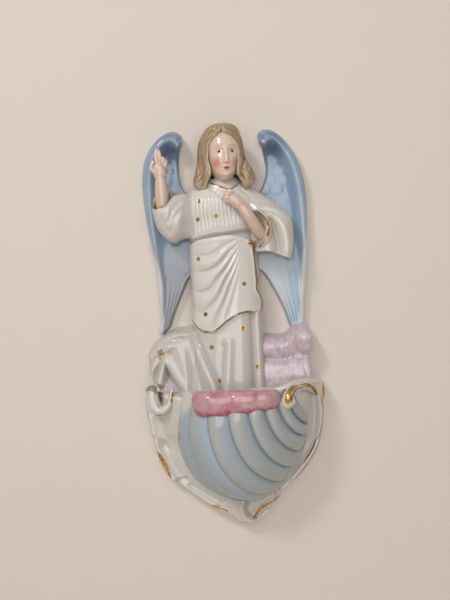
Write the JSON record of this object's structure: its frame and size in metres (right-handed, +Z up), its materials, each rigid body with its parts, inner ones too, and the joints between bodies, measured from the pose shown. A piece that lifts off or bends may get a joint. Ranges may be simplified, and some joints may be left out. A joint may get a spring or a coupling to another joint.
{
  "type": "holy water stoup",
  "caption": "Wall-hung glazed porcelain holy water stoup: a standing angel with raised wings above a ribbed shell basin with a ruffled lip.",
  "frame": {"origin": "on the flat back that lies against the wall, on the figure's middle line at mid-height", "axes": "+Z up, +Y out of the back into the wall, so the front faces -Y; +X is the angel's left"},
  "size_m": [0.0924, 0.0485, 0.2006],
  "materials": {
    "white_glaze": "gloss, gilded in places",
    "blue_glaze": "gloss",
    "lilac_glaze": "gloss",
    "pink_glaze": "gloss",
    "shell_glaze": "gloss",
    "painted_flesh": "gloss",
    "painted_hair": "gloss",
    "biscuit_back": "unglazed"
  },
  "bodies": {
    "root": {"back_wall": "biscuit_back", "head": "painted_flesh", "tunic_skirt": "white_glaze", "tunic_bodice": "white_glaze", "left_forearm": "painted_flesh", "mantle": "white_glaze", "hair": "painted_hair", "right_forearm": "painted_flesh", "right_sleeve": "white_glaze", "left_sleeve": "white_glaze", "train": "white_glaze", "left_cloud": "lilac_glaze", "right_cloud": "lilac_glaze", "basin": "shell_glaze", "basin_lip": "pink_glaze", "right_wing": "blue_glaze", "left_wing": "blue_glaze", "right_volute": "white_glaze", "left_volute": "white_glaze", "right_border": "white_glaze", "left_border": "white_glaze", "foot_scroll": "white_glaze"}
  },
  "joints": []
}
